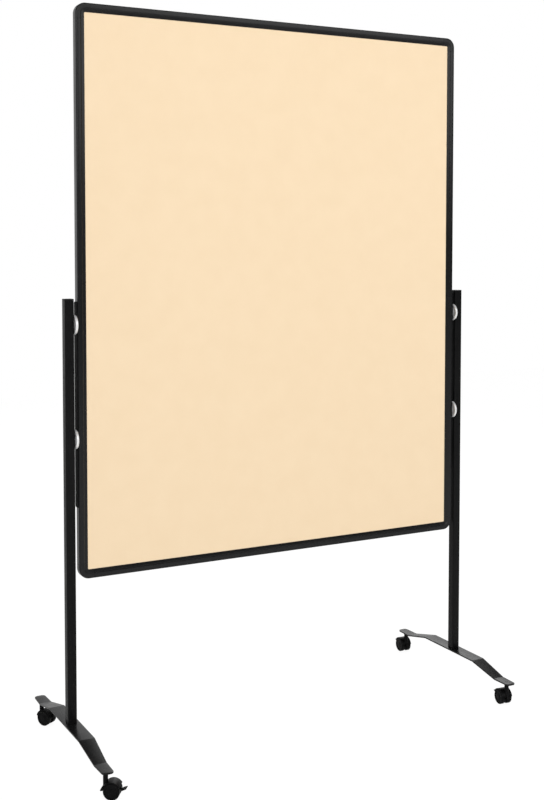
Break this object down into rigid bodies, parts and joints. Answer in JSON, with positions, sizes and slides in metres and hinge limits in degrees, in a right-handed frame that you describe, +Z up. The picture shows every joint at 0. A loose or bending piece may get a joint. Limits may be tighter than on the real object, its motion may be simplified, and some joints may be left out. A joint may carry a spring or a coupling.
{
  "type": "rolling pinboard partition",
  "caption": "Mobile felt pinboard divider in a rounded channel frame, clamped between square posts that stand on bent steel feet with braked twin-wheel casters.",
  "frame": {"origin": "on the floor, at the middle of the footprint of board, feet and wheels; the wheels rest on z = 0", "axes": "+X along the board, to the right seen from the front; the front felt faces -Y; +Z up"},
  "size_m": [1.288, 0.6076, 1.974],
  "materials": {
    "felt": "needled felt, peach beige",
    "core": "raw fibreboard",
    "anodised_frame": "black satin anodised",
    "corner_plastic": "moulded, fine satin grain",
    "powder_coat": "black satin powder coat",
    "polished_steel": "turned and bright plated",
    "zinc_steel": "bright zinc plated",
    "black_steel": "black oxide",
    "black_plastic": "moulded, matt",
    "wheel_plastic": "hard moulded tread, matt"
  },
  "bodies": {
    "stand_and_board": {"panel_core": "core", "felt_front": "felt", "felt_rear": "felt", "frame_top_rail": "anodised_frame", "frame_bottom_rail": "anodised_frame", "frame_left_stile": "anodised_frame", "frame_right_stile": "anodised_frame", "frame_corner_top_right": "corner_plastic", "frame_corner_bottom_right": "corner_plastic", "frame_corner_bottom_left": "corner_plastic", "frame_corner_top_left": "corner_plastic", "left_keyhole_rail": "powder_coat", "left_post": "powder_coat", "left_post_cap": "black_plastic", "left_foot_plug": "zinc_steel", "left_foot": "powder_coat", "left_foot_bolt": "zinc_steel", "left_lower_post_nut": "zinc_steel", "left_upper_post_nut": "zinc_steel", "right_keyhole_rail": "powder_coat", "right_post": "powder_coat", "right_post_cap": "black_plastic", "right_foot_plug": "zinc_steel", "right_foot": "powder_coat", "right_foot_bolt": "zinc_steel", "right_lower_post_nut": "zinc_steel", "right_upper_post_nut": "zinc_steel", "front_left_caster_stem": "black_steel", "rear_left_caster_stem": "black_steel", "rear_right_caster_stem": "black_steel", "front_right_caster_stem": "black_steel"},
    "front_left_caster": {"front_left_caster_housing": "black_plastic", "front_left_caster_axle": "zinc_steel"},
    "front_left_wheel_a": {"front_left_wheel_a": "wheel_plastic"},
    "front_left_wheel_b": {"front_left_wheel_b": "wheel_plastic"},
    "front_left_brake_pedal": {"front_left_brake_pedal": "black_plastic"},
    "rear_left_caster": {"rear_left_caster_housing": "black_plastic", "rear_left_caster_axle": "zinc_steel"},
    "rear_left_wheel_a": {"rear_left_wheel_a": "wheel_plastic"},
    "rear_left_wheel_b": {"rear_left_wheel_b": "wheel_plastic"},
    "rear_left_brake_pedal": {"rear_left_brake_pedal": "black_plastic"},
    "rear_right_caster": {"rear_right_caster_housing": "black_plastic", "rear_right_caster_axle": "zinc_steel"},
    "rear_right_wheel_a": {"rear_right_wheel_a": "wheel_plastic"},
    "rear_right_wheel_b": {"rear_right_wheel_b": "wheel_plastic"},
    "rear_right_brake_pedal": {"rear_right_brake_pedal": "black_plastic"},
    "front_right_caster": {"front_right_caster_housing": "black_plastic", "front_right_caster_axle": "zinc_steel"},
    "front_right_wheel_a": {"front_right_wheel_a": "wheel_plastic"},
    "front_right_wheel_b": {"front_right_wheel_b": "wheel_plastic"},
    "front_right_brake_pedal": {"front_right_brake_pedal": "black_plastic"},
    "left_lower_hand_screw": {"left_lower_hand_screw": "polished_steel"},
    "left_upper_hand_screw": {"left_upper_hand_screw": "polished_steel"},
    "right_lower_hand_screw": {"right_lower_hand_screw": "polished_steel"},
    "right_upper_hand_screw": {"right_upper_hand_screw": "polished_steel"}
  },
  "joints": [
    {"name": "front_left_swivel", "type": "hinge", "parent": "stand_and_board", "child": "front_left_caster", "pos_m": [-0.6225, -0.26474, 0.055], "axis": [0, 0, 1], "continuous": true},
    {"name": "front_left_wheel_a_spin", "type": "hinge", "parent": "front_left_caster", "child": "front_left_wheel_a", "pos_m": [-0.60794, -0.27532, 0.021], "axis": [0.5878, 0.809, 0], "continuous": true},
    {"name": "front_left_wheel_b_spin", "type": "hinge", "parent": "front_left_caster", "child": "front_left_wheel_b", "pos_m": [-0.60794, -0.27532, 0.021], "axis": [0.5878, 0.809, 0], "continuous": true},
    {"name": "front_left_brake", "type": "hinge", "parent": "front_left_caster", "child": "front_left_brake_pedal", "pos_m": [-0.59985, -0.28119, 0.03], "axis": [0.5878, 0.809, 0], "range_deg": [0, 14]},
    {"name": "rear_left_swivel", "type": "hinge", "parent": "stand_and_board", "child": "rear_left_caster", "pos_m": [-0.6225, 0.24926, 0.055], "axis": [0, 0, 1], "continuous": true},
    {"name": "rear_left_wheel_a_spin", "type": "hinge", "parent": "rear_left_caster", "child": "rear_left_wheel_a", "pos_m": [-0.6127, 0.23417, 0.021], "axis": [0.8387, 0.5446, 0], "continuous": true},
    {"name": "rear_left_wheel_b_spin", "type": "hinge", "parent": "rear_left_caster", "child": "rear_left_wheel_b", "pos_m": [-0.6127, 0.23417, 0.021], "axis": [0.8387, 0.5446, 0], "continuous": true},
    {"name": "rear_left_brake", "type": "hinge", "parent": "rear_left_caster", "child": "rear_left_brake_pedal", "pos_m": [-0.60725, 0.22578, 0.03], "axis": [0.8387, 0.5446, 0], "range_deg": [0, 14]},
    {"name": "rear_right_swivel", "type": "hinge", "parent": "stand_and_board", "child": "rear_right_caster", "pos_m": [0.6225, 0.24926, 0.055], "axis": [0, 0, 1], "continuous": true},
    {"name": "rear_right_wheel_a_spin", "type": "hinge", "parent": "rear_right_caster", "child": "rear_right_wheel_a", "pos_m": [0.62376, 0.26722, 0.021], "axis": [-0.9976, 0.0698, 0], "continuous": true},
    {"name": "rear_right_wheel_b_spin", "type": "hinge", "parent": "rear_right_caster", "child": "rear_right_wheel_b", "pos_m": [0.62376, 0.26722, 0.021], "axis": [-0.9976, 0.0698, 0], "continuous": true},
    {"name": "rear_right_brake", "type": "hinge", "parent": "rear_right_caster", "child": "rear_right_brake_pedal", "pos_m": [0.62445, 0.27719, 0.03], "axis": [-0.9976, 0.0698, 0], "range_deg": [0, 14]},
    {"name": "front_right_swivel", "type": "hinge", "parent": "stand_and_board", "child": "front_right_caster", "pos_m": [0.6225, -0.26474, 0.055], "axis": [0, 0, 1], "continuous": true},
    {"name": "front_right_wheel_a_spin", "type": "hinge", "parent": "front_right_caster", "child": "front_right_wheel_a", "pos_m": [0.62438, -0.24684, 0.021], "axis": [-0.9945, 0.1045, 0], "continuous": true},
    {"name": "front_right_wheel_b_spin", "type": "hinge", "parent": "front_right_caster", "child": "front_right_wheel_b", "pos_m": [0.62438, -0.24684, 0.021], "axis": [-0.9945, 0.1045, 0], "continuous": true},
    {"name": "front_right_brake", "type": "hinge", "parent": "front_right_caster", "child": "front_right_brake_pedal", "pos_m": [0.62543, -0.23689, 0.03], "axis": [-0.9945, 0.1045, 0], "range_deg": [0, 14]},
    {"name": "left_lower_hand_screw_turn", "type": "hinge", "parent": "stand_and_board", "child": "left_lower_hand_screw", "pos_m": [-0.605, -0.00774, 0.844], "axis": [1, 0, 0], "range_deg": [0, 360]},
    {"name": "left_upper_hand_screw_turn", "type": "hinge", "parent": "stand_and_board", "child": "left_upper_hand_screw", "pos_m": [-0.605, -0.00774, 1.144], "axis": [1, 0, 0], "range_deg": [0, 360]},
    {"name": "right_lower_hand_screw_turn", "type": "hinge", "parent": "stand_and_board", "child": "right_lower_hand_screw", "pos_m": [0.605, -0.00774, 0.844], "axis": [-1, 0, 0], "range_deg": [0, 360]},
    {"name": "right_upper_hand_screw_turn", "type": "hinge", "parent": "stand_and_board", "child": "right_upper_hand_screw", "pos_m": [0.605, -0.00774, 1.144], "axis": [-1, 0, 0], "range_deg": [0, 360]}
  ]
}
